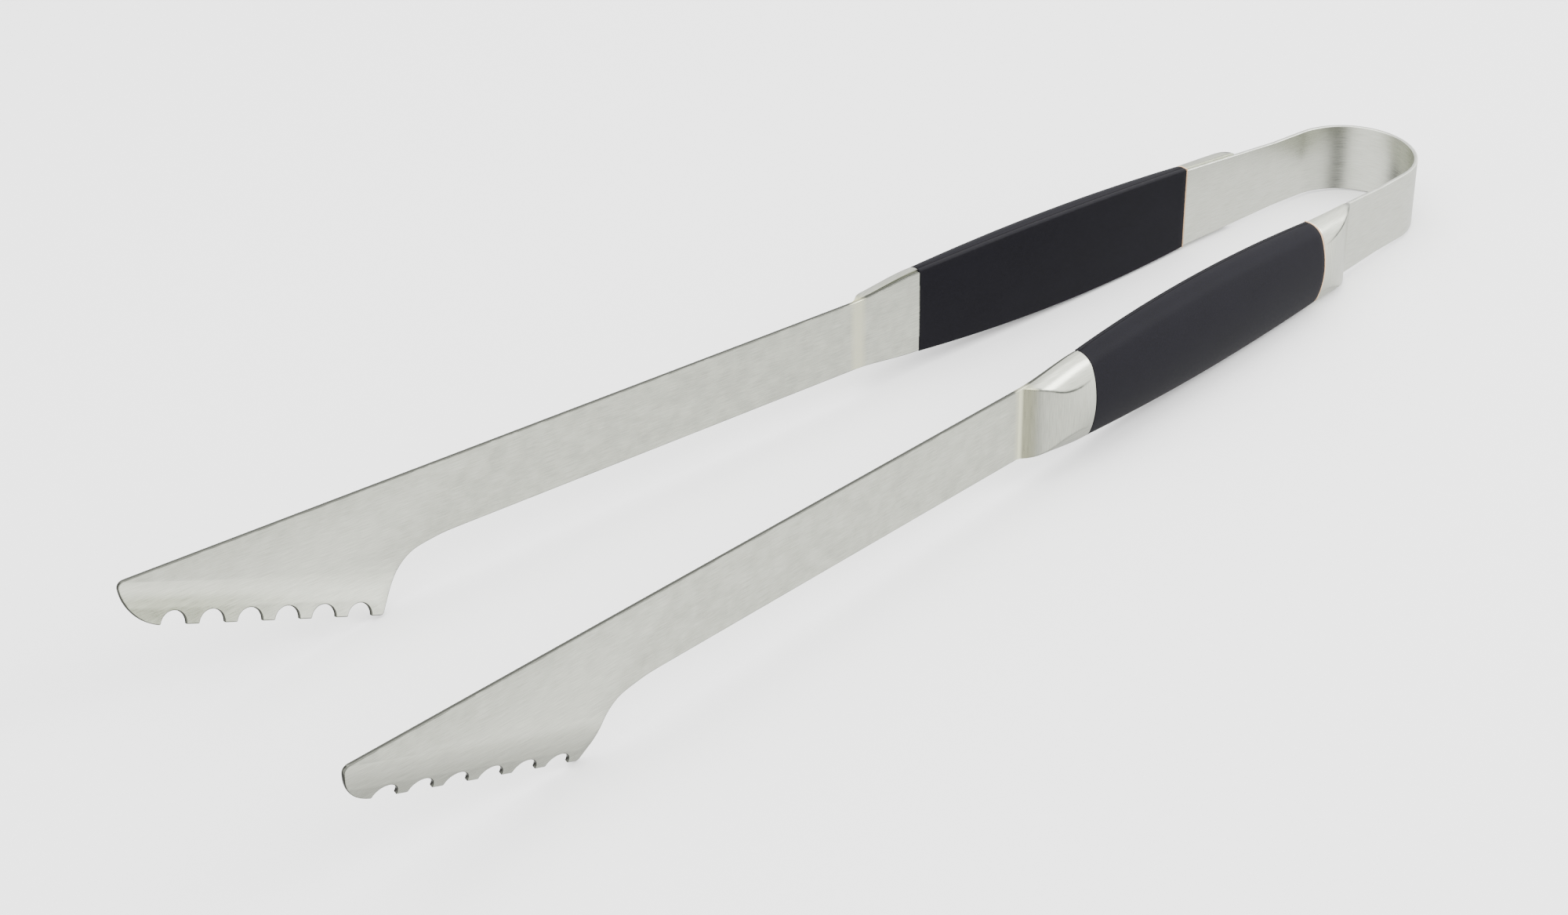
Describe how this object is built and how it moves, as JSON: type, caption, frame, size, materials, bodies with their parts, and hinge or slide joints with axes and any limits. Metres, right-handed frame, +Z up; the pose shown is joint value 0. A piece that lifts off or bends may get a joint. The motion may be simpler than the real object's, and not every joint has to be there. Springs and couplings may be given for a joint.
{
  "type": "spring loaded tongs",
  "caption": "Spring loaded kitchen tongs: a U-shaped steel bow, domed black grips between steel bolsters, and long flat blades ending in scalloped jaws with a bent lip.",
  "frame": {"origin": "centre of the bottom of the bounding box, on the surface that the tongs lie on", "axes": "+X towards the bow at the tail, jaws towards -X, +Z up, the arms apart along Y"},
  "size_m": [0.4482, 0.105, 0.0432],
  "materials": {
    "brushed_steel": "satin, brushed along the strip and across the bolsters",
    "grip_black": "matte soft-touch, fine speckle",
    "spacer_tan": "tan, satin",
    "rivet_steel": "plain turned steel"
  },
  "bodies": {
    "bow": {"spring_bow": "brushed_steel"},
    "left_arm": {"left_blade": "brushed_steel", "left_front_bolster": "brushed_steel", "left_rear_bolster": "brushed_steel", "left_grip_outer": "grip_black", "left_grip_inner": "grip_black", "left_grip_spacer": "spacer_tan", "left_tang_rivets": "rivet_steel"},
    "right_arm": {"right_blade": "brushed_steel", "right_front_bolster": "brushed_steel", "right_rear_bolster": "brushed_steel", "right_grip_outer": "grip_black", "right_grip_inner": "grip_black", "right_grip_spacer": "spacer_tan", "right_tang_rivets": "rivet_steel"}
  },
  "joints": [
    {"name": "left_arm_flex", "type": "hinge", "parent": "bow", "child": "left_arm", "pos_m": [0.20483, 0.017, 0.01235], "axis": [0.0453, 0, 0.999], "range_deg": [-2, 6.4], "stiffness_Nm_per_rad": 10.6, "deforming": ["spring_bow"]},
    {"name": "right_arm_flex", "type": "hinge", "parent": "bow", "child": "right_arm", "pos_m": [0.20483, -0.017, 0.01235], "axis": [-0.0453, 0, -0.999], "range_deg": [-2, 6.4], "stiffness_Nm_per_rad": 10.6, "deforming": ["spring_bow"]}
  ]
}
